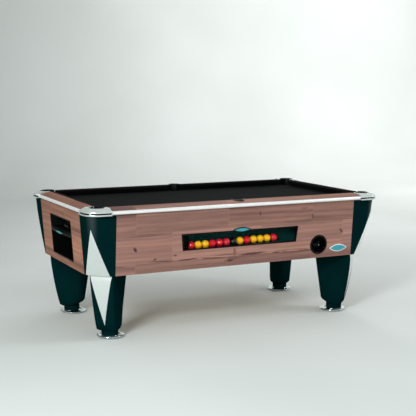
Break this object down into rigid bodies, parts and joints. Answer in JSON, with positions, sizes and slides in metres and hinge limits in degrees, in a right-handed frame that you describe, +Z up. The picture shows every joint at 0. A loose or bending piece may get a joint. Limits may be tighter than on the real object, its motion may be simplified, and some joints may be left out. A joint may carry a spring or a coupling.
{
  "type": "coin-operated pool table",
  "caption": "Free-standing pub pool table with slate bed, six pockets, leaning laminate cabinet, ball window, coin slide and ball hopper on tapered corner legs.",
  "frame": {"origin": "on the floor under the centre of the table", "axes": "+X along the table's length away from the coin end, -Y towards the side with the viewing window, +Z up"},
  "size_m": [2.156, 1.212, 0.8625],
  "materials": {
    "walnut_laminate": "satin laminate with walnut grain",
    "green_black_lacquer": "satin dark green-black lacquer",
    "chrome_foot": "polished chrome",
    "polished_aluminium": "polished",
    "pocket_rubber": "smooth moulded",
    "cushion_cloth": "black napped cloth over rubber",
    "slate": "honed",
    "bed_cloth": "black napped cloth",
    "plywood": "bare plywood",
    "black_plastic": "moulded black plastic",
    "clear_acrylic": "clear acrylic sheet",
    "zinc_steel": "zinc plated",
    "ball_red": "polished resin",
    "ball_yellow": "polished resin",
    "ball_black": "polished resin"
  },
  "bodies": {
    "cabinet": {"apron_front": "walnut_laminate", "apron_back": "walnut_laminate", "apron_left": "walnut_laminate", "apron_right": "walnut_laminate", "post_front_left": "green_black_lacquer", "leg_front_left": "green_black_lacquer", "casting_front_left": "polished_aluminium", "pocket_front_left": "pocket_rubber", "post_front_right": "green_black_lacquer", "leg_front_right": "green_black_lacquer", "casting_front_right": "polished_aluminium", "pocket_front_right": "pocket_rubber", "post_back_left": "green_black_lacquer", "leg_back_left": "green_black_lacquer", "casting_back_left": "polished_aluminium", "pocket_back_left": "pocket_rubber", "post_back_right": "green_black_lacquer", "leg_back_right": "green_black_lacquer", "casting_back_right": "polished_aluminium", "pocket_back_right": "pocket_rubber", "pocket_front_middle": "pocket_rubber", "pocket_back_middle": "pocket_rubber", "trim_front": "polished_aluminium", "trim_back": "polished_aluminium", "trim_left": "polished_aluminium", "trim_right": "polished_aluminium", "cushion_front_left": "cushion_cloth", "rail_front_left": "walnut_laminate", "cushion_front_right": "cushion_cloth", "rail_front_right": "walnut_laminate", "cushion_back_left": "cushion_cloth", "rail_back_left": "walnut_laminate", "cushion_back_right": "cushion_cloth", "rail_back_right": "walnut_laminate", "cushion_left_end": "cushion_cloth", "rail_left_end": "walnut_laminate", "cushion_right_end": "cushion_cloth", "rail_right_end": "walnut_laminate", "slate_bed": "slate", "bed_cloth": "bed_cloth", "cabinet_floor": "plywood", "return_run": "plywood", "ball_tray": "black_plastic", "window_frame": "black_plastic", "hopper": "black_plastic", "coin_mech": "black_plastic", "cue_ball_cup": "black_plastic", "window_pane": "clear_acrylic", "ball_01": "ball_red", "ball_02": "ball_yellow", "ball_03": "ball_yellow", "ball_04": "ball_red", "ball_05": "ball_red", "ball_06": "ball_red"},
    "coin_slide": {"coin_slide": "zinc_steel"},
    "release_gate": {"release_gate": "zinc_steel"},
    "foot_front_left": {"foot_front_left": "chrome_foot"},
    "foot_front_right": {"foot_front_right": "chrome_foot"},
    "foot_back_left": {"foot_back_left": "chrome_foot"},
    "foot_back_right": {"foot_back_right": "chrome_foot"}
  },
  "joints": [
    {"name": "coin_slide_travel", "type": "slide", "parent": "cabinet", "child": "coin_slide", "axis": [1, 0, 0], "range_m": [0, 0.05], "stiffness_N_per_m": 200},
    {"name": "gate_pivot", "type": "hinge", "parent": "cabinet", "child": "release_gate", "pos_m": [-0.3673, 0, 0.63], "axis": [0, 1, 0], "range_deg": [0, 58]},
    {"name": "foot_screw_front_left", "type": "slide", "parent": "cabinet", "child": "foot_front_left", "axis": [0, 0, -1], "range_m": [0, 0.02]},
    {"name": "foot_screw_front_right", "type": "slide", "parent": "cabinet", "child": "foot_front_right", "axis": [0, 0, -1], "range_m": [0, 0.02]},
    {"name": "foot_screw_back_left", "type": "slide", "parent": "cabinet", "child": "foot_back_left", "axis": [0, 0, -1], "range_m": [0, 0.02]},
    {"name": "foot_screw_back_right", "type": "slide", "parent": "cabinet", "child": "foot_back_right", "axis": [0, 0, -1], "range_m": [0, 0.02]}
  ],
  "couplings": [
    {"joint": "gate_pivot", "follows": "coin_slide_travel", "rad_per_m": 20}
  ]
}
